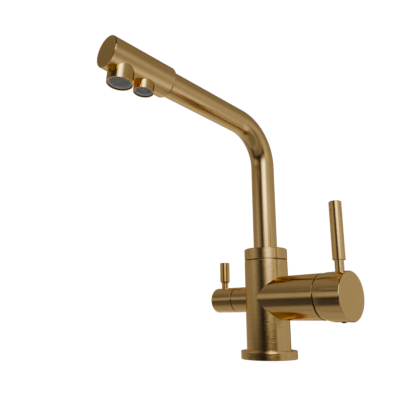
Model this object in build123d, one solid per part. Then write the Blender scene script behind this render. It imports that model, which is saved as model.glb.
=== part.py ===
from build123d import *
import math
import os

os.makedirs("parts", exist_ok=True)

# ---------------------------------------------------------------------------
# Three way kitchen tap: hot and cold mixer on the +X side, filtered water valve
# on the -X side, swivel spout with two outlets towards -Y.
# Millimetres. Origin: centre of the foot ring's underside, on the sink deck.
# +Z up.
# ---------------------------------------------------------------------------

# foot ring and column
FLANGE_R = 29.0
FLANGE_H = 8.1
COLUMN_R = 22.8
COLUMN_Z0 = 0.0
COLUMN_TOP = 101.3
AXIS_Z = 60.8            # height of both side barrels

# collar and spout
COLLAR_Z0 = 101.9
COLLAR_Z1 = 113.4
TUBE_R = 12.5
TUBE_WALL = 1.5
TUBE_Z0 = 104.0
BEND_Z = 207.7           # where the riser starts to bend
BEND_R = 45.5            # centre-line radius of the bend
ARM_RISE = 5.1           # degrees that the arm rises towards the head
INNER_TUBE_R = 3.0
INNER_TUBE_WALL = 0.8

# spout head, distances S are along the arm from the end of the bend
HEAD_R = 15.2
HEAD_S0 = 101.8
HEAD_S1 = 170.8
HEAD_WALL = 1.8
MAIN_S = 153.4
MAIN_R = 12.0
MAIN_DROP = 24.4         # outlet plane below the arm's axis
FILT_S = 127.5
FILT_R = 9.6
FILT_DROP = 21.35
RECESS = 1.2             # aerators sit this deep in their outlets

# mixer barrel and its cap
BARREL_R = 22.45
BARREL_X1 = 69.6
PIVOT_X = 58.0           # where the stem tilts
HUB_R = 23.4
HUB_REAR_R = 22.55
HUB_X1 = 99.0
HUB_LOW = 0.5            # the cap sits this much lower than its barrel
HUB_CLEAR_R = 25.5       # spherical hollow of the cap about the pivot
DOME_R = 24.9
ROD_X = 88.5
GRIP_R = 6.0
NECK_R = 4.25
GRIP_Z0 = 94.5
GRIP_Z1 = 151.8

# filtered water barrel and its cap
FB_R = 13.55
FB_X1 = 40.6
KNOB_X0 = 41.8
KNOB_X1 = 71.0
FROD_X = 61.65
FGRIP_R = 5.25
FNECK_R = 3.5
FGRIP_Z0 = 80.2
FGRIP_Z1 = 103.6

# threads under the body
INLET_R = 4.5            # M10 x 1 core hole
STUD_R = 3.4             # M8 core hole
HOT_XY = (7.5, 9.5)
COLD_XY = (7.5, -9.5)
FILT_XY = (-12.0, 0.0)
INLET_DEPTH = 13.0
STUD_DEPTH = 18.0


# ---------------------------------------------------------------------------
# helpers
# ---------------------------------------------------------------------------
def cyl_z(r, z0, z1, x=0.0, y=0.0):
    return Pos(x, y, (z0 + z1) / 2) * Cylinder(r, z1 - z0)


def cyl_x(r, x0, x1, y=0.0, z=AXIS_Z):
    a, b = min(x0, x1), max(x0, x1)
    return Pos((a + b) / 2, y, z) * Rot(0, 90, 0) * Cylinder(r, b - a)


def cyl_y(r, y0, y1, x=0.0, z=AXIS_Z):
    return Pos(x, (y0 + y1) / 2, z) * Rot(90, 0, 0) * Cylinder(r, y1 - y0)


def block(x0, x1, y0, y1, z0, z1):
    return Pos((x0 + x1) / 2, (y0 + y1) / 2, (z0 + z1) / 2) * Box(x1 - x0, y1 - y0, z1 - z0)


def outline(points, put):
    """Closed outline through (u, v) or (u, v, corner radius), as a face."""
    n = len(points)
    start, end, mid = [], [], []
    for i in range(n):
        u, v = points[i][0], points[i][1]
        r = points[i][2] if len(points[i]) > 2 else 0.0
        if r <= 0:
            start.append((u, v))
            end.append((u, v))
            mid.append(None)
            continue
        a, b = points[i - 1], points[(i + 1) % n]
        ax, ay = a[0] - u, a[1] - v
        bx, by = b[0] - u, b[1] - v
        la, lb = math.hypot(ax, ay), math.hypot(bx, by)
        ax, ay, bx, by = ax / la, ay / la, bx / lb, by / lb
        half = math.acos(max(-1.0, min(1.0, ax * bx + ay * by))) / 2
        t = r / math.tan(half)
        cx, cy = ax + bx, ay + by
        lc = math.hypot(cx, cy)
        d = r / math.sin(half) - r
        start.append((u + ax * t, v + ay * t))
        end.append((u + bx * t, v + by * t))
        mid.append((u + cx / lc * d, v + cy / lc * d))
    edges = []
    for i in range(n):
        if mid[i] is not None:
            edges.append(ThreePointArc(put(*start[i]), put(*mid[i]), put(*end[i])))
        j = (i + 1) % n
        if math.dist(end[i], start[j]) > 1e-7:
            edges.append(Line(put(*end[i]), put(*start[j])))
    return Face(Wire(edges))


def turned_z(points, x=0.0, y=0.0):
    """Turned on a vertical axis from (radius, z) points."""
    face = outline(points, lambda u, v: (u, 0, v))
    return Pos(x, y, 0) * revolve(face, Axis.Z, 360)


def turned_x(points, z=AXIS_Z):
    """Turned on an axis along X from (x, radius) points."""
    face = outline(points, lambda u, v: (u, v, 0))
    return Pos(0, 0, z) * revolve(face, Axis.X, 360)


def ring(axis_solid, hole):
    return axis_solid - hole


NODES = {}


def node(name, solid):
    NODES[name] = solid


# ---------------------------------------------------------------------------
# foot ring and its seal
# ---------------------------------------------------------------------------
node("base_flange", turned_z([
    (COLUMN_R, 0.0), (24.5, 0.0), (24.5, 1.2), (27.4, 1.2), (27.4, 0.0),
    (FLANGE_R, 0.0, 0.3), (FLANGE_R, FLANGE_H - 1.0), (FLANGE_R - 0.16, FLANGE_H - 0.15),
    (FLANGE_R - 0.35, FLANGE_H), (COLUMN_R, FLANGE_H)]))
node("base_seal", turned_z([(24.5, 0.0), (27.4, 0.0), (27.4, 1.2), (24.5, 1.2)]))

# ---------------------------------------------------------------------------
# body: column, the two barrels joined to it and the water ways through them
# ---------------------------------------------------------------------------
column = turned_z([(0, COLUMN_Z0), (COLUMN_R, COLUMN_Z0), (COLUMN_R, COLUMN_TOP - 1.2), (COLUMN_R - 0.16, COLUMN_TOP - 0.25),
                   (COLUMN_R - 0.45, COLUMN_TOP), (0, COLUMN_TOP)])
saddle = cyl_z(COLUMN_R, AXIS_Z - 30.0, AXIS_Z + 30.0)
barrel = turned_x([(0, 0), (BARREL_X1, 0), (BARREL_X1, BARREL_R, 0.2), (0, BARREL_R)]) - saddle
fbarrel = turned_x([(0, 0), (-FB_X1, 0), (-FB_X1, FB_R, 0.2), (0, FB_R)]) - saddle

SEAT_X = 36.4            # seat of the mixer cartridge
NUT_X0 = 61.0
CAV_R = 17.5
NUT_R = 19.4
FSEAT_X = 22.0           # seat of the filtered water valve, towards -X
FCAV_R = 9.3
FTHREAD_X = 33.0
FTHREAD_R = 10.4
TOP_Z = 84.0             # floor of the spout's bore
TOP_R = 14.5
LOCK_Z = 92.0            # rear lock screw

# filtered water: into the valve's seat, back out above it, up the middle
filter_ways = [
    cyl_x(FCAV_R, -FTHREAD_X - 0.5, -FSEAT_X),
    cyl_x(3.2, -FSEAT_X - 0.5, FILT_XY[0], 0, AXIS_Z),
    cyl_x(1.6, -FSEAT_X - 0.5, 0, 0, AXIS_Z + 7.6)]
# hot and cold ports into the cartridge seat, mixed water back to the spout
mixer_ways = [
    cyl_x(3.2, HOT_XY[0], SEAT_X + 0.5, HOT_XY[1], 54.8),
    cyl_x(3.2, COLD_XY[0], SEAT_X + 0.5, COLD_XY[1], 54.8),
    cyl_x(3.2, 9.0, SEAT_X + 0.5, 0, 71.8)]

for c in filter_ways + mixer_ways:
    column -= c
# threaded inlets and stud hole from below
for (hx, hy), top in ((HOT_XY, 58.6), (COLD_XY, 58.6), (FILT_XY, 64.4)):
    column -= cyl_z(INLET_R, -1.0, INLET_DEPTH, hx, hy)
    column -= cyl_z(3.5, INLET_DEPTH - 0.5, top, hx, hy)
column -= cyl_z(STUD_R, -1.0, STUD_DEPTH)
# spout's bore, the mixed water's way up and the filtered water's way up
column -= cyl_z(TOP_R, TOP_Z, COLUMN_TOP + 1)
column -= cyl_z(3.5, 68.0, TOP_Z + 0.5, 9.0, 0)
column -= cyl_z(4.0, 66.4, TOP_Z + 0.5)
column -= cyl_y(2.5, 12.0, 24.0, 0, LOCK_Z)
node("tap_body", column)

for c in mixer_ways:
    barrel -= c
barrel -= cyl_x(CAV_R, SEAT_X, BARREL_X1 + 1)
barrel -= cyl_x(NUT_R, NUT_X0, BARREL_X1 + 1)
node("mixer_barrel", barrel)

for c in filter_ways:
    fbarrel -= c
fbarrel -= cyl_x(FTHREAD_R, -FB_X1 - 1, -FTHREAD_X)
node("filter_barrel", fbarrel)

lock = cyl_y(2.5, 15.2, 22.0, 0, LOCK_Z) + cyl_y(1.5, 12.8, 15.2, 0, LOCK_Z)
lock -= Pos(0, 20.6, LOCK_Z) * Rot(90, 0, 0) * extrude(RegularPolygon(1.44, 6), 1.6, both=True)
node("spout_lock_screw", lock)
node("spout_slip_washer", turned_z([(14.6, COLUMN_TOP), (21.4, COLUMN_TOP),
                                    (21.4, COLUMN_TOP + 0.55), (14.6, COLUMN_TOP + 0.55)]))

# ---------------------------------------------------------------------------
# mixer cartridge, along +X
# ---------------------------------------------------------------------------
PORTS = ((10.0, -6.0), (-10.0, -6.0), (0.0, 11.0))   # y and height from the axis
DISC_X = 43.0            # plane between the two discs
housing = turned_x([(36.9, 0), (36.9, 17.4), (NUT_X0, 17.4), (NUT_X0, 12.0), (59.5, 12.0),
                    (59.5, 13.7), (40.0, 13.7), (40.0, 0)])
seals = None
fixed = cyl_x(13.7, 40.0, DISC_X)
for py, pz in PORTS:
    housing -= cyl_x(2.6, 36.0, 41.0, py, AXIS_Z + pz)
    housing -= cyl_x(4.4, 36.0, 37.9, py, AXIS_Z + pz)
    s = cyl_x(4.4, 36.4, 37.9, py, AXIS_Z + pz) - cyl_x(2.6, 36.0, 38.5, py, AXIS_Z + pz)
    seals = s if seals is None else seals + s
    # the ports draw together towards the middle of the disc
    fixed -= cyl_x(2.4, 39.5, DISC_X + 1, py * 0.75, AXIS_Z + pz * 0.75)
node("mixer_cartridge", housing)
node("cartridge_port_seals", seals)
node("fixed_ceramic_disc", fixed)

moving = cyl_x(9.5, DISC_X + 0.05, 47.0) + block(47.0, 51.0, -8.0, 8.0, AXIS_Z - 6.5, AXIS_Z + 6.5)
moving -= cyl_x(2.95, 46.0, 52.0)
moving -= block(DISC_X - 1, 45.2, -3.5, 3.5, AXIS_Z - 6.5, AXIS_Z - 1.5)
node("moving_ceramic_disc", moving)

carrier = cyl_x(13.6, 51.4, 59.4) + cyl_x(11.9, 59.4, 66.0)
ears = cyl_x(13.6, 47.2, 51.4) - block(47.0, 51.4, -8.2, 8.2, AXIS_Z - 15, AXIS_Z + 15)
carrier += ears
slot = outline([(51.0, -3.4), (51.0, 7.6), (57.0, 5.0), (66.5, 5.0), (66.5, -9.4),
                (59.5, -5.8), (56.5, -5.2)], lambda u, v: (u, -4.1, v + AXIS_Z))
carrier -= extrude(slot, amount=8.2, dir=(0, 1, 0))
carrier -= cyl_y(1.6, -11.0, 11.0, PIVOT_X, AXIS_Z)
node("cartridge_carrier", carrier)
node("stem_pivot_pin", cyl_y(1.6, -11.0, 11.0, PIVOT_X, AXIS_Z))

stem = (block(PIVOT_X, 94.0, -4.0, 4.0, AXIS_Z - 4, AXIS_Z + 4)
        + cyl_y(4.4, -4.0, 4.0, PIVOT_X, AXIS_Z)
        + cyl_x(2.0, 49.0, 56.0)
        + Pos(49.0, 0, AXIS_Z) * Sphere(2.6))
stem -= cyl_y(1.65, -5.0, 5.0, PIVOT_X, AXIS_Z)
node("mixer_stem", stem)

nut = turned_x([(NUT_X0, 15.0), (69.2, 15.0), (69.2, 19.0), (68.8, NUT_R), (NUT_X0, NUT_R)])
for k in range(4):
    nut -= Pos(0, 0, AXIS_Z) * Rot(45 + 90 * k, 0, 0) * (Pos(68.6, 0, 17.5) * Box(2.4, 3.4, 6.0))
node("cartridge_nut", nut)


def on_sphere(radius, r):
    return PIVOT_X + math.sqrt(radius ** 2 - r ** 2)


dx = BARREL_X1 - PIVOT_X
dome_edges = []
r_out0, r_in0 = math.sqrt(DOME_R ** 2 - dx ** 2), math.sqrt(23.7 ** 2 - dx ** 2)
r_mid_o = (r_out0 + 16.5) / 2
r_mid_i = (r_in0 + 16.5) / 2
dome_edges.append(ThreePointArc((BARREL_X1, r_out0, 0), (on_sphere(DOME_R, r_mid_o), r_mid_o, 0),
                                (on_sphere(DOME_R, 16.5), 16.5, 0)))
dome_edges.append(Line((on_sphere(DOME_R, 16.5), 16.5, 0), (on_sphere(23.7, 16.5), 16.5, 0)))
dome_edges.append(ThreePointArc((on_sphere(23.7, 16.5), 16.5, 0), (on_sphere(23.7, r_mid_i), r_mid_i, 0),
                                (BARREL_X1, r_in0, 0)))
dome_edges.append(Line((BARREL_X1, r_in0, 0), (BARREL_X1, r_out0, 0)))
node("dome_cover", Pos(0, 0, AXIS_Z) * revolve(Face(Wire(dome_edges)), Axis.X, 360))

# ---------------------------------------------------------------------------
# mixer cap, its rod, screw and plug
# ---------------------------------------------------------------------------
HUB_X0 = 69.9
FULL_X = 81.0            # where the cap reaches its full radius
drop = HUB_R - HUB_REAR_R
big_r = ((FULL_X - HUB_X0) ** 2 + drop ** 2) / (2 * drop)
xm = (HUB_X0 + FULL_X) / 2
rm = HUB_R - (big_r - math.sqrt(big_r ** 2 - (FULL_X - xm) ** 2))
e = 0.7
hub_edges = [
    Line((HUB_X0, 0, 0), (HUB_X0, HUB_REAR_R, 0)),
    ThreePointArc((HUB_X0, HUB_REAR_R, 0), (xm, rm, 0), (FULL_X, HUB_R, 0)),
    Line((FULL_X, HUB_R, 0), (HUB_X1 - e, HUB_R, 0)),
    ThreePointArc((HUB_X1 - e, HUB_R, 0), (HUB_X1 - e * (1 - math.sqrt(0.5)), HUB_R - e * (1 - math.sqrt(0.5)), 0),
                  (HUB_X1, HUB_R - e, 0)),
    Line((HUB_X1, HUB_R - e, 0), (HUB_X1, 0, 0)),
    Line((HUB_X1, 0, 0), (HUB_X0, 0, 0)),
]
hub = Pos(0, 0, AXIS_Z - HUB_LOW) * revolve(Face(Wire(hub_edges)), Axis.X, 360)
hub -= Pos(PIVOT_X, 0, AXIS_Z) * Sphere(HUB_CLEAR_R)
# the seam is narrow at the top and opens below the middle, where the cap swings in
rear = outline([(50.0, 30.0), (69.68, 30.0), (69.7, 8.0), (71.4, -1.0), (72.3, -20.6), (79.0, -23.0),
                (90.0, -26.4), (90.0, -32.0), (50.0, -32.0)], lambda u, v: (u, -30.0, v + AXIS_Z))
hub -= extrude(rear, amount=60.0, dir=(0, 1, 0))
# stem socket, rod thread, rod seat, screw hole
hub -= block(80.0, 94.0, -4.0, 4.0, AXIS_Z - 4, AXIS_Z + 4)
hub -= cyl_z(3.0, AXIS_Z + 9.0, AXIS_Z + 30.0, ROD_X)
hub -= cyl_z(NECK_R, AXIS_Z + 22.3, AXIS_Z + 30.0, ROD_X)
hub -= cyl_z(2.1, AXIS_Z - 30.0, AXIS_Z - 4.0, ROD_X + 0.5)
node("mixer_hub", hub)

node("mixer_lever_rod", turned_z([
    (0, AXIS_Z + 9.5), (3.0, AXIS_Z + 9.5, 0.4), (3.0, AXIS_Z + 22.3), (NECK_R, AXIS_Z + 22.3),
    (NECK_R, GRIP_Z0), (GRIP_R, GRIP_Z0, 0.5), (GRIP_R, GRIP_Z1, 0.8), (0, GRIP_Z1)], ROD_X))
grub = cyl_z(2.1, AXIS_Z - 11.0, AXIS_Z - 4.0, ROD_X + 0.5)
grub -= Pos(ROD_X + 0.5, 0, AXIS_Z - 11.0) * extrude(RegularPolygon(1.15, 6), 2.2, both=True)
node("hub_grub_screw", grub)
node("hub_screw_plug", turned_z([(0, AXIS_Z - 24.6), (2.1, AXIS_Z - 24.6, 0.5), (2.1, AXIS_Z - 19.9),
                                 (0, AXIS_Z - 19.9)], ROD_X + 0.5))

# ---------------------------------------------------------------------------
# filtered water valve, along -X
# ---------------------------------------------------------------------------
node("filter_seam_ring", turned_x([(-FB_X1, FTHREAD_R), (-FB_X1, 13.0, 0.1), (-KNOB_X0 + 0.06, 13.0, 0.1),
                                   (-KNOB_X0 + 0.06, FTHREAD_R)]))
valve = turned_x([(-22.8, 0), (-22.8, 6.2), (-31.0, 6.2), (-31.0, 9.2), (-FTHREAD_X, 9.2),
                  (-FTHREAD_X, FTHREAD_R), (-KNOB_X0, FTHREAD_R), (-KNOB_X0, 8.0), (-46.5, 8.0), (-46.5, 0)])
valve -= cyl_x(5.4, -29.6, -22.0)
valve -= cyl_x(4.05, -47.0, -29.0)
for k in range(4):
    valve -= Pos(0, 0, AXIS_Z) * Rot(45 + 90 * k, 0, 0) * (Pos(-27.0, 0, 6.0) * Box(2.4, 4.0, 3.0))
node("filter_valve_body", valve)
node("filter_seat_seal", turned_x([(-FSEAT_X, 3.5), (-FSEAT_X, 6.0), (-22.8, 6.0), (-22.8, 3.5)]))
ffix = cyl_x(5.35, -25.4, -22.8)
for s_ in (1, -1):
    ffix -= cyl_x(1.4, -26.0, -22.0, 0, AXIS_Z + 2.6 * s_)
node("filter_fixed_disc", ffix)
fmov = cyl_x(5.3, -28.2, -25.45)
for s_ in (1, -1):
    fmov -= block(-26.9, -25.0, 1.2 if s_ > 0 else -6.0, 6.0 if s_ > 0 else -1.2, AXIS_Z - 1.6, AXIS_Z + 1.6)
fmov -= block(-29.0, -27.2, -1.5, 1.5, AXIS_Z - 4.0, AXIS_Z + 4.0)
node("filter_moving_disc", fmov)
spindle = cyl_x(4.0, -57.5, -29.6) + cyl_x(5.3, -29.5, -28.2) + cyl_x(4.0, -30.0, -29.0)
spindle += block(-28.4, -27.2, -1.5, 1.5, AXIS_Z - 4.0, AXIS_Z + 4.0)
node("filter_spindle", spindle)

knob = turned_x([(-KNOB_X0, 10.9), (-KNOB_X0, FB_R, 0.2), (-KNOB_X1, FB_R, 0.65), (-KNOB_X1, 0),
                 (-57.5, 0), (-57.5, 4.0), (-47.2, 4.0), (-47.2, 10.9)])
knob -= cyl_z(2.5, AXIS_Z + 4.5, AXIS_Z + 20, -FROD_X)
knob -= cyl_z(FNECK_R, AXIS_Z + 12.4, AXIS_Z + 20, -FROD_X)
knob -= cyl_z(1.6, AXIS_Z - 20, AXIS_Z - 4.0, -53.0)
node("filter_knob", knob)
node("filter_lever_rod", turned_z([
    (0, AXIS_Z + 5.0), (2.5, AXIS_Z + 5.0, 0.3), (2.5, AXIS_Z + 12.4), (FNECK_R, AXIS_Z + 12.4),
    (FNECK_R, FGRIP_Z0), (FGRIP_R, FGRIP_Z0 + 2.0), (FGRIP_R, FGRIP_Z1, 0.6), (0, FGRIP_Z1)], -FROD_X))
fgrub = cyl_z(1.6, AXIS_Z - 12.2, AXIS_Z - 4.0, -53.0)
fgrub -= Pos(-53.0, 0, AXIS_Z - 12.2) * extrude(RegularPolygon(0.86, 6), 1.8, both=True)
node("filter_grub_screw", fgrub)

# ---------------------------------------------------------------------------
# spout: stem in the body, collar, bent tube and the inner tube
# ---------------------------------------------------------------------------
stem_pts = [(9.5, 86.0), (13.9, 86.0, 0.4), (13.9, 87.0), (13.2, 87.0), (13.2, 89.0), (13.9, 89.0),
            (13.9, 90.2), (12.2, 90.2), (12.2, 93.8), (13.9, 93.8), (13.9, 94.2), (12.6, 94.2),
            (12.6, 96.0), (13.9, 96.0), (13.9, 96.6), (12.6, 96.6), (12.6, 98.4), (13.9, 98.4),
            (13.9, 99.0), (13.2, 99.0), (13.2, 101.0), (13.9, 101.0), (13.9, TUBE_Z0), (9.5, TUBE_Z0)]
node("spout_stem", turned_z(stem_pts))
rings = None
for z0 in (87.0, 99.0):
    r_ = turned_z([(13.2, z0), (14.45, z0), (14.45, z0 + 2.0), (13.2, z0 + 2.0)])
    rings = r_ if rings is None else rings + r_
node("spout_bearing_rings", rings)
node("spout_o_rings", Pos(0, 0, 95.1) * Torus(13.5, 0.9) + Pos(0, 0, 97.5) * Torus(13.5, 0.9))
node("spout_collar", turned_z([
    (13.9, COLLAR_Z0), (COLUMN_R - 0.3, COLLAR_Z0), (COLUMN_R, COLLAR_Z0 + 0.3), (COLUMN_R, COLLAR_Z1, 1.0),
    (TUBE_R, COLLAR_Z1), (TUBE_R, TUBE_Z0), (13.9, TUBE_Z0)]))

turn = math.radians(90 - ARM_RISE)
end_y = -BEND_R * (1 - math.cos(turn))
end_z = BEND_Z + BEND_R * math.sin(turn)
rise = math.radians(ARM_RISE)
arm_dir = (0, -math.cos(rise), math.sin(rise))
arm = Plane(origin=(0, end_y, end_z), x_dir=(1, 0, 0), z_dir=arm_dir).location


def spout_path(z0, s1):
    h = turn / 2
    return Wire([
        Line((0, 0, z0), (0, 0, BEND_Z)),
        ThreePointArc((0, 0, BEND_Z), (0, -BEND_R * (1 - math.cos(h)), BEND_Z + BEND_R * math.sin(h)),
                      (0, end_y, end_z)),
        Line((0, end_y, end_z), (0, end_y + arm_dir[1] * s1, end_z + arm_dir[2] * s1))])


def pipe(r_out, r_in, z0, s1):
    outer = sweep(Pos(0, 0, z0) * Circle(r_out), path=spout_path(z0, s1))
    inner = sweep(Pos(0, 0, z0) * Circle(r_in), path=spout_path(z0, s1))
    return outer - inner


TUBE_S1 = 110.0
node("spout_tube", pipe(TUBE_R, TUBE_R - TUBE_WALL, TUBE_Z0, TUBE_S1))
node("filtered_water_tube", pipe(INNER_TUBE_R, INNER_TUBE_R - INNER_TUBE_WALL, 70.0, FILT_S - 2.5))
node("filter_tube_o_rings", Pos(0, 0, 74.0) * Torus(3.47, 0.46) + Pos(0, 0, 78.0) * Torus(3.47, 0.46))


# ---------------------------------------------------------------------------
# spout head; arm-local frame: Z along the arm, Y up from it
# ---------------------------------------------------------------------------
def down(r, d0, d1, s):
    """Cylinder square to the arm, from d0 to d1 below its axis."""
    return Pos(0, -(d0 + d1) / 2, s) * Rot(90, 0, 0) * Cylinder(r, abs(d1 - d0))


def turned_down(points, s):
    """Turned on the outlet's axis from (radius, distance below the arm's axis)."""
    face = outline(points, lambda u, v: (u, 0, -v))
    return Pos(0, 0, s) * Rot(-90, 0, 0) * revolve(face, Axis.Z, 360)


head = turned_z([
    (TUBE_R, HEAD_S0), (HEAD_R, HEAD_S0, 2.3), (HEAD_R, HEAD_S1, 0.8), (0, HEAD_S1),
    (0, HEAD_S1 - 2.6), (HEAD_R - HEAD_WALL, HEAD_S1 - 2.6), (HEAD_R - HEAD_WALL, TUBE_S1), (TUBE_R, TUBE_S1)])
head -= down(MAIN_R, 8.0, 26.0, MAIN_S)
head -= down(FILT_R, 5.0, 26.0, FILT_S)
node("spout_head", arm * head)

M_BORE, M_SEAT = 11.1, 15.4
node("main_nozzle", arm * turned_down([
    (10.2, 8.0), (MAIN_R, 8.0), (MAIN_R, MAIN_DROP, 0.3), (M_BORE, MAIN_DROP, 0.15), (M_BORE, M_SEAT),
    (10.2, M_SEAT)], MAIN_S))
node("main_aerator_washer", arm * turned_down([
    (8.2, M_SEAT), (M_BORE, M_SEAT), (M_BORE, M_SEAT + 1.0), (8.2, M_SEAT + 1.0)], MAIN_S))
node("main_aerator_ring", arm * turned_down([
    (9.2, M_SEAT + 1.0), (M_BORE, M_SEAT + 1.0), (M_BORE, MAIN_DROP - RECESS, 0.2),
    (10.0, MAIN_DROP - RECESS, 0.2), (10.0, MAIN_DROP - RECESS - 1.1), (9.2, MAIN_DROP - RECESS - 1.1)], MAIN_S))
node("main_aerator_screen", arm * down(10.0, MAIN_DROP - RECESS - 1.1, MAIN_DROP - RECESS - 0.5, MAIN_S))

F_BORE, F_SEAT = 8.85, 13.0
node("filter_nozzle", arm * turned_down([
    (2.2, 5.0), (FILT_R, 5.0, 0.6), (FILT_R, FILT_DROP, 0.3), (F_BORE, FILT_DROP, 0.15), (F_BORE, F_SEAT),
    (7.9, F_SEAT), (7.9, 7.0), (2.2, 7.0)], FILT_S))
node("filter_aerator_washer", arm * turned_down([
    (6.2, F_SEAT), (F_BORE, F_SEAT), (F_BORE, F_SEAT + 1.0), (6.2, F_SEAT + 1.0)], FILT_S))
node("filter_aerator_ring", arm * turned_down([
    (7.2, F_SEAT + 1.0), (F_BORE, F_SEAT + 1.0), (F_BORE, FILT_DROP - RECESS, 0.2),
    (7.9, FILT_DROP - RECESS, 0.2), (7.9, FILT_DROP - RECESS - 1.1), (7.2, FILT_DROP - RECESS - 1.1)], FILT_S))
node("filter_aerator_screen", arm * down(7.9, FILT_DROP - RECESS - 1.1, FILT_DROP - RECESS - 0.5, FILT_S))

elbow = down(5.5, -5.0, 5.0, FILT_S)
elbow -= cyl_z(INNER_TUBE_R, FILT_S - 8.0, FILT_S - 2.5)
elbow -= cyl_z(2.2, FILT_S - 3.0, FILT_S)
elbow -= down(2.2, 0.0, 6.0, FILT_S)
node("filter_elbow", arm * elbow)

# ---------------------------------------------------------------------------
for name, solid in NODES.items():
    export_step(solid, os.path.join("parts", name + ".step"))
print(len(NODES), "nodes; arm starts at y", round(end_y, 3), "z", round(end_z, 3))
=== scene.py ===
import math

import bmesh
import bpy
from mathutils import Matrix, Vector


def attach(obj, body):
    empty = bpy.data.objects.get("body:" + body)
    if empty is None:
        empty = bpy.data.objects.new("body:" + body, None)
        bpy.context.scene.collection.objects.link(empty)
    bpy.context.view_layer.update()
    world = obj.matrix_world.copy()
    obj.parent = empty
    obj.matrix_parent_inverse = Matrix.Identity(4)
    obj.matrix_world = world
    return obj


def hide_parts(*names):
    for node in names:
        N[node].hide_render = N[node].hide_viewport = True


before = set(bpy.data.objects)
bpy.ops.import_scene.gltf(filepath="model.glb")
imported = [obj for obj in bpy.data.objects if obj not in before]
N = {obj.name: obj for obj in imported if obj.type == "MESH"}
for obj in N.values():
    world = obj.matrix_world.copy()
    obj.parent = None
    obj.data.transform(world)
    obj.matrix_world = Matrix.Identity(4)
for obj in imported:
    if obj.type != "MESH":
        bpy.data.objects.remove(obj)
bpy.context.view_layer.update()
scene = bpy.context.scene

# ---------------------------------------------------------------------------
# camera: the photograph's viewpoint, low down and looking slightly up
# ---------------------------------------------------------------------------
yaw, pitch, roll = math.radians(46.353), math.radians(13.953), math.radians(-0.206)
fwd = Vector((-math.sin(yaw) * math.cos(pitch), math.cos(yaw) * math.cos(pitch), math.sin(pitch)))
right = Vector((math.cos(yaw), math.sin(yaw), 0.0))
up = right.cross(fwd)
right2 = math.cos(roll) * right + math.sin(roll) * up
up2 = -math.sin(roll) * right + math.cos(roll) * up
cam_data = bpy.data.cameras.new("camera")
cam_data.sensor_width = 36.0
cam_data.lens = 42.517
cam_data.clip_start, cam_data.clip_end = 0.01, 50.0
cam = bpy.data.objects.new("camera", cam_data)
scene.collection.objects.link(cam)
cam.matrix_world = Matrix((
    (right2.x, up2.x, -fwd.x, 0.32392),
    (right2.y, up2.y, -fwd.y, -0.40781),
    (right2.z, up2.z, -fwd.z, 0.04177),
    (0, 0, 0, 1)))
scene.camera = cam


# ---------------------------------------------------------------------------
# node helpers
# ---------------------------------------------------------------------------
class Tree:
    def __init__(self, name):
        self.mat = bpy.data.materials.new(name)
        self.mat.use_nodes = True
        self.t = self.mat.node_tree
        self.t.nodes.clear()
        self.out = self.t.nodes.new("ShaderNodeOutputMaterial")
        self.bsdf = self.t.nodes.new("ShaderNodeBsdfPrincipled")
        self.link(self.bsdf.outputs[0], self.out.inputs[0])
        self.coord = self.t.nodes.new("ShaderNodeTexCoord").outputs["Object"]

    def link(self, a, b):
        self.t.links.new(a, b)

    def put(self, socket, value):
        if hasattr(value, "is_output"):
            self.link(value, socket)
        else:
            socket.default_value = value

    def math(self, op, a, b=0.0, c=0.0, clamp=False):
        n = self.t.nodes.new("ShaderNodeMath")
        n.operation, n.use_clamp = op, clamp
        for s, v in zip(n.inputs, (a, b, c)):
            self.put(s, v)
        return n.outputs[0]

    def xyz(self, v=None):
        n = self.t.nodes.new("ShaderNodeSeparateXYZ")
        self.put(n.inputs[0], self.coord if v is None else v)
        return n.outputs

    def vec(self, x, y, z):
        n = self.t.nodes.new("ShaderNodeCombineXYZ")
        for s, v in zip(n.inputs, (x, y, z)):
            self.put(s, v)
        return n.outputs[0]

    def noise(self, vector, scale, detail=4.0, rough=0.55, dims="3D"):
        n = self.t.nodes.new("ShaderNodeTexNoise")
        n.noise_dimensions = dims
        self.put(n.inputs["Vector"], vector)
        self.put(n.inputs["Scale"], scale)
        self.put(n.inputs["Detail"], detail)
        self.put(n.inputs["Roughness"], rough)
        return n.outputs["Fac"]

    def ramp(self, fac, stops, interp="LINEAR"):
        n = self.t.nodes.new("ShaderNodeValToRGB")
        n.color_ramp.interpolation = interp
        el = n.color_ramp.elements
        while len(el) < len(stops):
            el.new(0.5)
        for e, (p, c) in zip(el, stops):
            e.position = p
            e.color = (*c, 1.0) if len(c) == 3 else c
        self.put(n.inputs[0], fac)
        return n.outputs[0]

    def range(self, v, a, b, c, d):
        n = self.t.nodes.new("ShaderNodeMapRange")
        for s, x in zip(n.inputs, (v, a, b, c, d)):
            self.put(s, x)
        return n.outputs[0]

    def mix(self, fac, a, b):
        n = self.t.nodes.new("ShaderNodeMix")
        n.data_type = "RGBA"
        self.put(n.inputs[0], fac)
        self.put(n.inputs[6], a)
        self.put(n.inputs[7], b)
        return n.outputs[2]

    def bump(self, height, strength, distance, normal=None):
        n = self.t.nodes.new("ShaderNodeBump")
        self.put(n.inputs["Strength"], strength)
        self.put(n.inputs["Distance"], distance)
        self.put(n.inputs["Height"], height)
        if normal is not None:
            self.put(n.inputs["Normal"], normal)
        return n.outputs[0]

    def set(self, **kw):
        for k, v in kw.items():
            self.put(self.bsdf.inputs[k.replace("_", " ")], v)


# ---------------------------------------------------------------------------
# brushed brass: fine lines run round each turned part, so the shine is stretched across them
# ---------------------------------------------------------------------------
BRASS = (0.86, 0.556, 0.190)
rise = math.radians(5.1)
ARM = Vector((0.0, -math.cos(rise), math.sin(rise)))
DOWN = Vector((0.0, -math.sin(rise), -math.cos(rise)))
A0 = Vector((0.0, -0.041455, 0.25302))
BEND_Y, BEND_Z, BEND_R = -0.0455, 0.2077, 0.0455
AXZ = 0.0608


def on_arm(s, d=0.0):
    """A point s metres along the arm and d below its axis."""
    return A0 + ARM * s + DOWN * d


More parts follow.
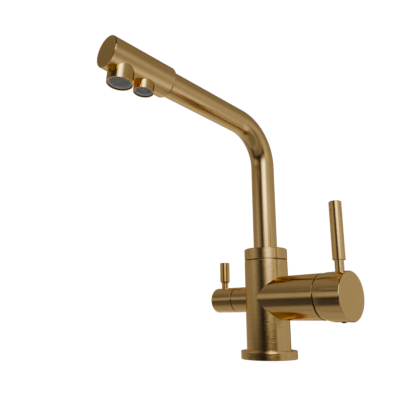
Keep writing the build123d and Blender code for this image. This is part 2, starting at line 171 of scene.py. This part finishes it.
def vmath(m, op, a, b=None, scale=None):
    n = m.t.nodes.new("ShaderNodeVectorMath")
    n.operation = op
    m.put(n.inputs[0], a)
    if b is not None:
        m.put(n.inputs[1], b)
    if scale is not None:
        m.put(n.inputs["Scale"], scale)
    return n.outputs["Value"] if op in ("DOT_PRODUCT", "LENGTH", "DISTANCE") else n.outputs["Vector"]


def straight(m, axis, centre):
    """Distance along a straight axis, distance from it, and the direction of the axis."""
    rel = vmath(m, "SUBTRACT", m.coord, tuple(centre))
    along = vmath(m, "DOT_PRODUCT", rel, tuple(axis))
    off = vmath(m, "SUBTRACT", rel, vmath(m, "SCALE", tuple(axis), scale=along))
    rad = vmath(m, "LENGTH", off)
    tangent = vmath(m, "ADD", tuple(axis), vmath(m, "SCALE", off, scale=6.0))
    return along, rad, tangent


def swept(m):
    """The same three for the bent tube: up, round the bend and out along the arm."""
    x, y, z = m.xyz()
    vy, vz = m.math("SUBTRACT", y, BEND_Y), m.math("SUBTRACT", z, BEND_Z)
    ang = m.math("MINIMUM", m.math("MAXIMUM", m.math("ARCTAN2", vz, vy), 0.0), math.pi / 2 - rise)
    tangent = m.vec(0.0, m.math("MULTIPLY", m.math("SINE", ang), -1.0), m.math("COSINE", ang))
    out = vmath(m, "DOT_PRODUCT", vmath(m, "SUBTRACT", m.coord, tuple(A0)), tuple(ARM))
    along = m.math("ADD", m.math("MINIMUM", z, BEND_Z),
                   m.math("ADD", m.math("MULTIPLY", ang, BEND_R), m.math("MAXIMUM", out, 0.0)))
    return along, 0.0, tangent


def brass(name, path, rough=0.16, aniso=0.5, grain=1.0, tone=1.0, coat=0.15, painted_shade_bore=0.0, streaks=0.12):
    m = Tree(name)
    along, rad, tangent = path(m)
    drift = m.noise(m.coord, 30.0, 2.0)
    line = m.math("ADD", m.math("ADD", along, rad), m.math("MULTIPLY", drift, 0.0012))
    # brush lines are long: fast change across them, slow change along them
    turn = vmath(m, "SCALE", m.coord, scale=14.0)
    fine = m.noise(vmath(m, "ADD", turn, m.vec(0.0, 0.0, m.math("MULTIPLY", line, 4200.0))), 1.0, 3.0, 0.65)
    wide = m.noise(vmath(m, "ADD", turn, m.vec(0.0, 0.0, m.math("MULTIPLY", line, 1100.0))), 1.0, 2.0, 0.5)
    band = m.noise(vmath(m, "ADD", vmath(m, "SCALE", m.coord, scale=45.0),
                         m.vec(0.0, 0.0, m.math("MULTIPLY", line, 650.0))), 1.0, 3.0, 0.6)
    speck = m.noise(m.coord, 1400.0, 2.0, 0.6)
    streak = m.noise(vmath(m, "ADD", vmath(m, "SCALE", m.coord, scale=130.0),
                           m.vec(0.0, 0.0, m.math("MULTIPLY", line, 1300.0))), 1.0, 2.0, 0.6)
    cloud = m.noise(m.coord, 60.0, 3.0)
    mixed = m.math("ADD", m.math("MULTIPLY", fine, 0.65), m.math("MULTIPLY", wide, 0.35))
    broad = m.math("ADD", m.math("MULTIPLY", band, 0.6), m.math("MULTIPLY", speck, 0.4))
    lo = tuple(c * tone * 0.93 for c in BRASS)
    hi = tuple(min(1.0, c * tone * 1.07) for c in BRASS)
    colour = m.mix(m.range(m.math("ADD", m.math("MULTIPLY", mixed, 0.4), m.math("MULTIPLY", broad, 0.6)),
                           0.38, 0.62, 0.0, 1.0), (*lo, 1), (*hi, 1))
    colour = m.mix(m.range(cloud, 0.35, 0.75, 0.0, 0.22), colour, (*[c * tone * 0.9 for c in BRASS], 1))
    # stronger single strokes, where the brush was pressed harder
    gain = m.range(streak, 0.34, 0.66, 1.0 - 0.06 * streaks, 1.0 + 0.05 * streaks)
    colour = vmath(m, "MULTIPLY", colour, m.vec(gain, gain, gain))
    m.set(Base_Color=colour, Metallic=1.0,
          Roughness=m.range(m.math("ADD", m.math("MULTIPLY", wide, 0.5), m.math("MULTIPLY", cloud, 0.5)),
                            0.3, 0.7, rough - 0.025, rough + 0.03))
    if painted_shade_bore:
        # painted shade: the inside of the outlet is coloured darker, standing in for the shade in the recess
        inside = m.math("LESS_THAN", rad, painted_shade_bore)
        colour = m.mix(inside, colour, (0.17, 0.11, 0.035, 1))
        m.set(Base_Color=colour)
    normal = m.bump(broad, 0.05 * grain, 0.00012, m.bump(mixed, 0.04 * grain, 0.00005))
    m.put(m.bsdf.inputs["Normal"], m.bump(streak, min(1.0, 0.52 * streaks), 0.00014, normal))
    m.bsdf.inputs["Anisotropic"].default_value = aniso
    m.bsdf.inputs["Specular Tint"].default_value = (1.0, 0.82, 0.55, 1.0)   # stays warm at grazing angles
    m.bsdf.inputs["Coat Weight"].default_value = coat      # thin clear lacquer
    m.bsdf.inputs["Coat Roughness"].default_value = 0.35
    world_dir = m.t.nodes.new("ShaderNodeVectorTransform")
    world_dir.vector_type = "VECTOR"
    world_dir.convert_from, world_dir.convert_to = "OBJECT", "WORLD"
    m.put(world_dir.inputs[0], tangent)
    m.put(m.bsdf.inputs["Tangent"], world_dir.outputs[0])
    return m.mat


def about(axis, centre):
    return lambda m: straight(m, Vector(axis).normalized(), Vector(centre))


def assign(node, mat):
    o = N[node]
    o.data.materials.clear()
    o.data.materials.append(mat)


m_col = brass("brass_column", about((0, 0, 1), (0, 0, 0)), streaks=1.0)
m_barrel = brass("brass_barrel", about((1, 0, 0), (0, 0, AXZ)))
m_tube = brass("brass_tube", swept)
m_head = brass("brass_head", about(ARM, A0))
# the nozzles get a painted shade on the inner wall of the outlet, inside the given bore radius
m_noz = brass("brass_nozzle", about(DOWN, on_arm(0.1534)), rough=0.08, aniso=0.3, grain=0.4, coat=0.0, painted_shade_bore=0.01128)
m_noz2 = brass("brass_filter_nozzle", about(DOWN, on_arm(0.1275)), rough=0.08, aniso=0.3, grain=0.4, coat=0.0,
               painted_shade_bore=0.00903)
m_rod = brass("brass_rod", about((0, 0, 1), (0.0885, 0, 0)), streaks=0.6)
m_frod = brass("brass_filter_rod", about((0, 0, 1), (-0.06165, 0, 0)), streaks=0.6)
for n, m_ in {
        "base_flange": m_col, "tap_body": m_col, "spout_collar": m_col, "mixer_barrel": m_barrel,
        "filter_barrel": m_barrel, "spout_tube": m_tube, "spout_head": m_head, "main_nozzle": m_noz,
        "filter_nozzle": m_noz2, "mixer_hub": m_barrel, "mixer_lever_rod": m_rod, "filter_knob": m_barrel,
        "filter_lever_rod": m_frod}.items():
    assign(n, m_)


# ---------------------------------------------------------------------------
# hidden and small parts
# ---------------------------------------------------------------------------
def plain(name, colour, rough, metal=0.0, scale=400.0, vary=0.12, bump=0.00002, rough_vary=0.06):
    m = Tree(name)
    n1 = m.noise(m.coord, scale, 4.0)
    n2 = m.noise(m.coord, scale * 0.12, 3.0)
    both = m.math("ADD", m.math("MULTIPLY", n1, 0.5), m.math("MULTIPLY", n2, 0.5))
    a = (*[c * (1 - vary) for c in colour], 1)
    b = (*[min(1.0, c * (1 + vary)) for c in colour], 1)
    m.set(Base_Color=m.mix(m.range(both, 0.3, 0.7, 0.0, 1.0), a, b), Metallic=metal,
          Roughness=m.range(n2, 0.3, 0.7, max(0.05, rough - rough_vary), min(1.0, rough + rough_vary)))
    m.put(m.bsdf.inputs["Normal"], m.bump(n1, 0.3, bump))
    return m.mat


turned = brass("turned_brass", about((1, 0, 0), (0, 0, AXZ)), rough=0.3, grain=2.0)
turned_v = brass("turned_brass_upright", about((0, 0, 1), (0, 0, 0)), rough=0.3, grain=2.0)
ceramic = plain("lapped_ceramic", (0.86, 0.84, 0.79), 0.18, vary=0.04)
pom = plain("moulded_white", (0.80, 0.80, 0.77), 0.42, vary=0.04, scale=700)
tube_white = plain("tube_plastic", (0.82, 0.84, 0.86), 0.35, vary=0.04, scale=500)
rubber = plain("black_rubber", (0.022, 0.022, 0.022), 0.62, vary=0.25, scale=900)
seam = plain("seam_ring", (0.020, 0.026, 0.018), 0.38, vary=0.25)
steel = plain("screw_steel", (0.50, 0.50, 0.51), 0.32, metal=1.0, vary=0.08, scale=1200)
dark_plug = plain("dark_plug", (0.018, 0.017, 0.016), 0.4, vary=0.3)
# painted shade: the slip washer and the dome cover are coloured near-black so the seams they show through read as
# dark gaps
painted_seam_shade = plain("painted_seam_shade_black", (0.010, 0.009, 0.008), 0.55, vary=0.3)
aer_grey = plain("aerator_grey", (0.90, 0.90, 0.86), 0.38, vary=0.06, scale=800)
for n, m_ in {
        "base_seal": rubber, "cartridge_port_seals": rubber, "filter_seat_seal": rubber, "spout_o_rings": rubber,
        "filter_tube_o_rings": rubber, "main_aerator_washer": rubber, "filter_aerator_washer": rubber,
        "mixer_cartridge": pom, "cartridge_carrier": pom, "spout_bearing_rings": pom, "spout_slip_washer": painted_seam_shade, "dome_cover": painted_seam_shade,
        "filtered_water_tube": tube_white, "fixed_ceramic_disc": ceramic, "moving_ceramic_disc": ceramic,
        "filter_fixed_disc": ceramic, "filter_moving_disc": ceramic, "stem_pivot_pin": steel,
        "hub_grub_screw": steel, "filter_grub_screw": steel, "spout_lock_screw": steel, "mixer_stem": turned,
        "cartridge_nut": turned, "filter_valve_body": turned, "filter_spindle": turned, "filter_elbow": turned_v,
        "spout_stem": turned_v, "filter_seam_ring": seam, "hub_screw_plug": dark_plug,
        "main_aerator_ring": aer_grey, "filter_aerator_ring": aer_grey,
        "main_aerator_screen": steel, "filter_aerator_screen": steel}.items():
    assign(n, m_)


# ---------------------------------------------------------------------------
# aerators: a woven wire screen held under a plain ring, over a perforated insert
# ---------------------------------------------------------------------------
def screen_metal():
    m = Tree("woven_wire")
    n1 = m.noise(m.coord, 2600.0, 3.0)
    n2 = m.noise(m.coord, 240.0, 3.0)
    colour = m.ramp(m.math("ADD", m.math("MULTIPLY", n1, 0.6), m.math("MULTIPLY", n2, 0.4)),
                    [(0.36, (0.50, 0.49, 0.45)), (0.50, (0.74, 0.73, 0.68)), (0.64, (0.92, 0.91, 0.85))])
    m.set(Base_Color=colour, Metallic=0.35, Roughness=m.range(n2, 0.3, 0.7, 0.32, 0.48))
    m.put(m.bsdf.inputs["Normal"], m.bump(n1, 0.25, 0.00002))
    return m.mat


def insert_plastic():
    m = Tree("aerator_insert")
    n1 = m.noise(m.coord, 1500.0, 4.0)
    colour = m.ramp(n1, [(0.3, (0.012, 0.012, 0.010)), (0.7, (0.030, 0.030, 0.026))])
    m.set(Base_Color=colour, Roughness=m.range(n1, 0.3, 0.7, 0.45, 0.6))
    m.put(m.bsdf.inputs["Normal"], m.bump(n1, 0.3, 0.00003))
    return m.mat


def woven(name, s, drop, radius, pitch, wire, turn, insert_r):
    """Two sets of wires that pass over and under each other, trimmed to a disc, with the insert behind them."""
    bm = bmesh.new()
    o = on_arm(s, drop)
    ex = Vector((1, 0, 0)) * math.cos(turn) + ARM * math.sin(turn)
    ey = -Vector((1, 0, 0)) * math.sin(turn) + ARM * math.cos(turn)
    ez = DOWN
    amp = wire * 0.52
    n = int(radius / pitch)
    sides = 6

    def tube(points, across):
        rings = []
        for k, p in enumerate(points):
            q = points[min(k + 1, len(points) - 1)] - points[max(k - 1, 0)]
            q.normalize()
            side = q.cross(ez).normalized()
            top = side.cross(q).normalized()
            rings.append([bm.verts.new(p + (side * math.cos(2 * math.pi * j / sides)
                                            + top * math.sin(2 * math.pi * j / sides)) * wire / 2)
                          for j in range(sides)])
        for r0, r1 in zip(rings, rings[1:]):
            for j in range(sides):
                bm.faces.new((r0[j], r0[(j + 1) % sides], r1[(j + 1) % sides], r1[j])).smooth = True
        bm.faces.new(rings[0][::-1])
        bm.faces.new(rings[-1])

    for i in range(-n, n + 1):
        u = i * pitch
        reach = math.sqrt(max(radius ** 2 - u ** 2, 0.0))
        if reach < pitch:
            continue
        steps = max(4, int(round(2 * reach / (pitch / 4))))
        for way in (0, 1):
            pts = []
            for k in range(steps + 1):
                v = -reach + 2 * reach * k / steps
                h = amp * math.cos(math.pi * (v / pitch + i)) * (1 if way == 0 else -1)
                flat = ex * u + ey * v if way == 0 else ex * v + ey * u
                pts.append(o + flat + ez * h)
            tube(pts, way)
    bmesh.ops.recalc_face_normals(bm, faces=bm.faces)
    me = bpy.data.meshes.new(name)
    bm.to_mesh(me)
    bm.free()
    ob = bpy.data.objects.new(name, me)
    scene.collection.objects.link(ob)
    me.materials.append(wire_mat)
    return ob


def insert_plate(name, s, drop, radius, thick, hole, gap):
    """A round plate with rows of round holes, seen dark between the wires."""
    bm = bmesh.new()
    o = on_arm(s, drop)
    ex, ey, ez = Vector((1, 0, 0)), ARM, DOWN
    rows = int(radius / gap)
    seg = 10
    cells = []
    for i in range(-rows, rows + 1):
        for j in range(-rows, rows + 1):
            cx, cy = (i + 0.5 * (j % 2)) * gap, j * gap * 0.866
            if math.hypot(cx, cy) < radius - gap * 0.62:
                cells.append((cx, cy))
    rim = 64
    outer = [bm.verts.new(o + (ex * math.cos(2 * math.pi * k / rim) + ey * math.sin(2 * math.pi * k / rim)) * radius)
             for k in range(rim)]
    edges = [bm.edges.new((outer[k], outer[(k + 1) % rim])) for k in range(rim)]
    for cx, cy in cells:
        ring = [bm.verts.new(o + ex * (cx + hole * math.cos(2 * math.pi * k / seg))
                             + ey * (cy + hole * math.sin(2 * math.pi * k / seg))) for k in range(seg)]
        edges += [bm.edges.new((ring[k], ring[(k + 1) % seg])) for k in range(seg)]
    bmesh.ops.triangle_fill(bm, use_beauty=True, use_dissolve=False, edges=edges)
    # the fill covers the holes too, so their faces go
    def inside(f):
        c = f.calc_center_median() - o
        x, y = c.dot(ex), c.dot(ey)
        return any(math.hypot(x - cx, y - cy) < hole * 0.98 for cx, cy in cells)
    bmesh.ops.delete(bm, geom=[f for f in bm.faces if inside(f)], context="FACES")
    flat = bm.faces[:]
    made = bmesh.ops.extrude_face_region(bm, geom=flat)
    bmesh.ops.translate(bm, vec=-ez * thick, verts=[v for v in made["geom"] if isinstance(v, bmesh.types.BMVert)])
    bmesh.ops.recalc_face_normals(bm, faces=bm.faces)
    me = bpy.data.meshes.new(name)
    bm.to_mesh(me)
    bm.free()
    ob = bpy.data.objects.new(name, me)
    scene.collection.objects.link(ob)
    me.materials.append(insert_mat)
    return ob


wire_mat, insert_mat = screen_metal(), insert_plastic()
for label, s_, drop_, r_, ins in (("main", 0.1534, 0.0244 - 0.0020, 0.0099, 0.0088),
                                  ("filter", 0.1275, 0.02135 - 0.0020, 0.0078, 0.0068)):
    w_ = woven(label + "_aerator_weave", s_, drop_, r_, 0.00195, 0.00060, math.radians(28), ins)
    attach(w_, "spout")
    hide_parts(label + "_aerator_screen")
    p_ = insert_plate(label + "_aerator_insert", s_, drop_ - 0.0007, ins, 0.0008, 0.00052, 0.0016)
    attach(p_, "spout")


# ---------------------------------------------------------------------------
# floor, room and lamps
# ---------------------------------------------------------------------------
# Plain studio surroundings, as the tap sees them. Each soft box, wall or reflector covers an azimuth and an
# elevation in degrees, with half its width and height, the softness of its edges, and its brightness.
#   name, azimuth, half width, softness, elevation, half height, softness, brightness
ROOM = [
    ("key_box", -20, 20.5, 48, 20.5, 17, 6, 0.73),
    ("key_middle", -39, 8, 30, 14.5, 7.5, 11, 2.32),
    ("key_centre", -37.5, 13, 9.5, 16.5, 4, 6, 5.19),
    ("key_core", -37.5, 9, 21.5, 35, 3, 6, 10.50),
    ("backdrop", 151.5, 29, 20.5, 5, 24.5, 12.5, 0.20),
    ("right_wall", 47, 55, 10.5, 2, 14, 11.5, 0.45),
    ("right_floor", 38.5, 11, 11.5, -41, 27.5, 15, 0.59),
    ("left_strip", -118, 12.5, 37, 8.5, 9, 6, 0.61),
    ("left_wall", -162, 12, 42.5, -8, 26, 18, 0.40),
    ("back_wall", 151.5, 29, 26.5, 22.5, 42.5, 10, 0.03),
    ("back_floor", 143.5, 20, 23, -22.5, 17.5, 6.5, 0.55),
    ("floor_front", -63, 82, 6, -64.5, 29.5, 6, 0.19),
    ("floor_rear", 119, 98.5, 28.5, -69, 33.5, 12.5, 0.37),
    ("ceiling_left", 178, 57, 6, 50.5, 22, 35, 0.29),
    ("ceiling_right", 66.5, 47.5, 22.5, 43.5, 28, 8.5, 0.25),
    ("upper_front", -71.5, 54.5, 6, 29.5, 3, 6, 0.41),
    ("low_front", -27, 33, 6, -15.5, 3, 13.5, 0.14),
    ("floor_near", -45.5, 72.5, 6, -28, 15, 6, 0.18),
]
ROOM_BASE = 0.001


def floor():
    """A plain pale floor under the tap. The photo shows none, so it is kept out of the picture and the light."""
    m = Tree("pale_floor")
    n1 = m.noise(m.coord, 3.0, 4.0)
    n2 = m.noise(m.coord, 240.0, 4.0)
    both = m.math("ADD", m.math("MULTIPLY", n1, 0.6), m.math("MULTIPLY", n2, 0.4))
    m.set(Base_Color=m.ramp(both, [(0.3, (0.80, 0.80, 0.79)), (0.7, (0.86, 0.86, 0.85))]),
          Roughness=m.range(n2, 0.3, 0.7, 0.55, 0.7))
    m.put(m.bsdf.inputs["Normal"], m.bump(n2, 0.1, 0.0001))
    bm = bmesh.new()
    bmesh.ops.create_grid(bm, x_segments=8, y_segments=8, size=0.6)
    for v in bm.verts:
        v.co.z = -0.0005
    me = bpy.data.meshes.new("floor")
    bm.to_mesh(me)
    bm.free()
    ob = bpy.data.objects.new("floor", me)
    scene.collection.objects.link(ob)
    me.materials.append(m.mat)
    for ray in ("camera", "diffuse", "glossy", "transmission", "shadow", "volume_scatter"):
        setattr(ob, "visible_" + ray, False)


def room():
    w = bpy.data.worlds.new("studio")
    scene.world = w
    w.use_nodes = True
    t = w.node_tree
    t.nodes.clear()

    def put(socket, v):
        if hasattr(v, "is_output"):
            t.links.new(v, socket)
        else:
            socket.default_value = v

    def calc(op, p, q=0.0):
        n = t.nodes.new("ShaderNodeMath")
        n.operation = op
        put(n.inputs[0], p)
        put(n.inputs[1], q)
        return n.outputs[0]

    def edge(d, half, soft):
        n = t.nodes.new("ShaderNodeMapRange")
        n.interpolation_type = "SMOOTHSTEP"
        for k, v in enumerate((d, half - soft, half + soft, 1.0, 0.0)):
            put(n.inputs[k], v)
        return n.outputs[0]

    split = t.nodes.new("ShaderNodeSeparateXYZ")
    t.links.new(t.nodes.new("ShaderNodeTexCoord").outputs["Generated"], split.inputs[0])
    x, y, z = split.outputs
    az = calc("DEGREES", calc("ARCTAN2", y, x))
    el = calc("DEGREES", calc("ARCSINE", z))
    total = None
    for name, a, ah, asoft, e, eh, esoft, level in ROOM:
        d = calc("ABSOLUTE", calc("SUBTRACT", az, a))
        d = calc("ABSOLUTE", calc("MINIMUM", d, calc("SUBTRACT", 360.0, d)))
        f = calc("MULTIPLY", edge(d, ah, asoft), edge(calc("ABSOLUTE", calc("SUBTRACT", el, e)), eh, esoft))
        f = calc("MULTIPLY", f, level)
        total = calc("ADD", f, ROOM_BASE if total is None else total)
    lit = t.nodes.new("ShaderNodeBackground")
    # the dim parts of the room are a warm brown
    tint = t.nodes.new("ShaderNodeMapRange")
    tint.data_type = "FLOAT_VECTOR"
    tint.inputs[7].default_value = (0.02, 0.02, 0.02)
    tint.inputs[8].default_value = (0.2, 0.2, 0.2)
    tint.inputs[9].default_value = (1.0, 0.95, 1.50)
    tint.inputs[10].default_value = (1.0, 0.99, 1.05)
    level3 = t.nodes.new("ShaderNodeCombineXYZ")
    for k in range(3):
        t.links.new(total, level3.inputs[k])
    t.links.new(level3.outputs[0], tint.inputs[6])
    # the lamps are a little yellow
    warm = t.nodes.new("ShaderNodeMapRange")
    warm.data_type = "FLOAT_VECTOR"
    warm.inputs[7].default_value = (0.3, 0.3, 0.3)
    warm.inputs[8].default_value = (1.4, 1.4, 1.4)
    warm.inputs[9].default_value = (1.0, 1.0, 1.0)
    warm.inputs[10].default_value = (1.0, 1.02, 0.80)
    t.links.new(level3.outputs[0], warm.inputs[6])
    both = t.nodes.new("ShaderNodeVectorMath")
    both.operation = "MULTIPLY"
    t.links.new(tint.outputs["Vector"], both.inputs[0])
    t.links.new(warm.outputs["Vector"], both.inputs[1])
    t.links.new(both.outputs["Vector"], lit.inputs[0])
    t.links.new(total, lit.inputs[1])
    out = t.nodes.new("ShaderNodeOutputWorld")
    t.links.new(lit.outputs[0], out.inputs[0])


floor()
room()

scene.view_settings.view_transform = "Standard"
scene.view_settings.look = "None"
scene.view_settings.exposure = 0.0
scene.view_settings.gamma = 1.0
scene.render.film_transparent = True


def develop():
    """The picture is toned as on film, then laid on white."""
    scene.use_nodes = True
    t = scene.node_tree
    t.nodes.clear()
    layers = t.nodes.new("CompositorNodeRLayers")
    apart = t.nodes.new("CompositorNodePremulKey")
    apart.mapping = "PREMUL_TO_STRAIGHT"
    tone = t.nodes.new("CompositorNodeConvertColorSpace")
    tone.from_color_space, tone.to_color_space = "Linear Rec.709", "AgX Base sRGB"
    again = t.nodes.new("CompositorNodePremulKey")
    again.mapping = "STRAIGHT_TO_PREMUL"
    over = t.nodes.new("CompositorNodeAlphaOver")
    over.inputs[0].default_value = 1.0
    over.inputs[1].default_value = (1, 1, 1, 1)
    back = t.nodes.new("CompositorNodeConvertColorSpace")
    back.from_color_space, back.to_color_space = "sRGB", "Linear Rec.709"
    done = t.nodes.new("CompositorNodeComposite")
    t.links.new(layers.outputs["Image"], apart.inputs[0])
    t.links.new(apart.outputs[0], tone.inputs[0])
    t.links.new(tone.outputs[0], again.inputs[0])
    t.links.new(again.outputs[0], over.inputs[2])
    t.links.new(over.outputs[0], back.inputs[0])
    t.links.new(back.outputs[0], done.inputs[0])


develop()

bpy.context.view_layer.update()
